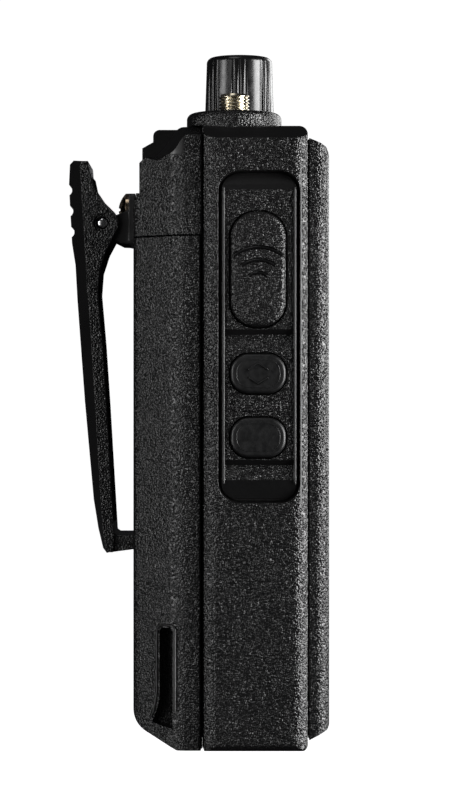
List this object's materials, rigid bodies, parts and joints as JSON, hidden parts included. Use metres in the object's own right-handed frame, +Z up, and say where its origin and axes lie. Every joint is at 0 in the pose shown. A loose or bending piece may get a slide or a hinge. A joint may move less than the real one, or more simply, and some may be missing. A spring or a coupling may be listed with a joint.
{
  "type": "portable two-way radio",
  "caption": "Handheld two-way radio with two knobs, antenna socket, side talk and function keys, slide-off battery pack, sprung belt clip and flap over the accessory jacks.",
  "frame": {"origin": "on the underside of the main housing, on its centre plane", "axes": "+Z up through the knobs, -Y out of the front speaker face, -X out of the talk key side"},
  "size_m": [0.0607, 0.0549, 0.147],
  "materials": {
    "case_plastic": "fine leather grain",
    "satin_plastic": "satin",
    "knob_plastic": "semi-gloss",
    "key_rubber": "satin",
    "flap_rubber": "matt",
    "seal_rubber": "matt",
    "bracket_metal": "satin black",
    "screw_steel": "dark nickel",
    "spring_steel": "polished",
    "gold_brass": "gold plated",
    "nickel_brass": "nickel plated",
    "ptfe": "waxy white",
    "board": "solder mask",
    "tin_plate": "tinned",
    "cast_frame": "as cast",
    "speaker_paper": "coated paper",
    "felt": "felt",
    "magnet": "plated",
    "cell_wrap": "shrink wrap",
    "light_lens": "milky lens"
  },
  "bodies": {
    "radio": {"main_housing": "case_plastic", "front_cover": "case_plastic", "housing_seal": "seal_rubber", "rear_cap": "case_plastic", "clip_bracket": "bracket_metal", "clip_screws": "screw_steel", "clip_pin": "spring_steel", "clip_spring": "spring_steel", "antenna_connector": "nickel_brass", "antenna_insulator": "ptfe", "antenna_contact": "gold_brass", "antenna_nut": "nickel_brass", "channel_switch": "satin_plastic", "volume_control": "satin_plastic", "knob_nuts": "nickel_brass", "knob_seals": "seal_rubber", "control_board": "board", "status_light": "light_lens", "side_key_panel": "case_plastic", "side_key_board": "board", "side_switches": "tin_plate", "jack_block": "satin_plastic", "flap_pin": "spring_steel", "chassis_frame": "cast_frame", "main_board": "board", "board_screws": "screw_steel", "shield_cans": "tin_plate", "housing_screws": "screw_steel", "cap_screws": "screw_steel", "speaker_frame": "tin_plate", "speaker_magnet": "magnet", "speaker_cone": "speaker_paper", "speaker_felt": "felt", "microphone": "tin_plate", "microphone_boot": "seal_rubber", "terminal_block": "satin_plastic", "terminal_plungers": "gold_brass"},
    "battery": {"battery_case": "case_plastic", "battery_lid": "satin_plastic", "battery_cells": "cell_wrap", "battery_board": "board", "battery_pads": "gold_brass", "charging_contacts": "nickel_brass", "latch_spring": "spring_steel"},
    "battery_latch": {"battery_latch": "satin_plastic"},
    "belt_clip": {"clip_lever": "case_plastic"},
    "channel_knob": {"channel_knob": "knob_plastic", "channel_shaft": "nickel_brass"},
    "volume_knob": {"volume_knob": "knob_plastic", "volume_shaft": "nickel_brass"},
    "talk_button": {"talk_button": "key_rubber"},
    "power_button": {"power_button": "key_rubber"},
    "monitor_button": {"monitor_button": "key_rubber"},
    "accessory_flap": {"accessory_flap": "flap_rubber"}
  },
  "joints": [
    {"name": "talk_press", "type": "slide", "parent": "radio", "child": "talk_button", "axis": [1, 0, 0], "range_m": [0, 0.0008], "stiffness_N_per_m": 900, "springref_m": -0.0004},
    {"name": "power_press", "type": "slide", "parent": "radio", "child": "power_button", "axis": [1, 0, 0], "range_m": [0, 0.0007], "stiffness_N_per_m": 600, "springref_m": -0.0004},
    {"name": "monitor_press", "type": "slide", "parent": "radio", "child": "monitor_button", "axis": [1, 0, 0], "range_m": [0, 0.0007], "stiffness_N_per_m": 600, "springref_m": -0.0004},
    {"name": "channel_turn", "type": "hinge", "parent": "radio", "child": "channel_knob", "pos_m": [0.003, -0.0019, 0.131], "axis": [0, 0, -1], "range_deg": [0, 337.5]},
    {"name": "volume_turn", "type": "hinge", "parent": "radio", "child": "volume_knob", "pos_m": [0.02, -0.0019, 0.131], "axis": [0, 0, -1], "range_deg": [0, 270]},
    {"name": "clip_hinge", "type": "hinge", "parent": "radio", "child": "belt_clip", "pos_m": [0, 0.02725, 0.1098], "axis": [1, 0, 0], "range_deg": [0, 20], "stiffness_Nm_per_rad": 0.25, "springref_deg": -28.65},
    {"name": "battery_slide", "type": "slide", "parent": "radio", "child": "battery", "axis": [0, 0, -1], "range_m": [0, 0.11]},
    {"name": "latch_slide", "type": "slide", "parent": "battery", "child": "battery_latch", "axis": [0, 0, 1], "range_m": [0, 0.0025], "stiffness_N_per_m": 400, "springref_m": -0.001, "deforming": ["latch_spring"]},
    {"name": "accessory_flap_hinge", "type": "hinge", "parent": "radio", "child": "accessory_flap", "pos_m": [0.0292, 0.001, 0.1053], "axis": [0, 0, 1], "range_deg": [0, 93]}
  ]
}
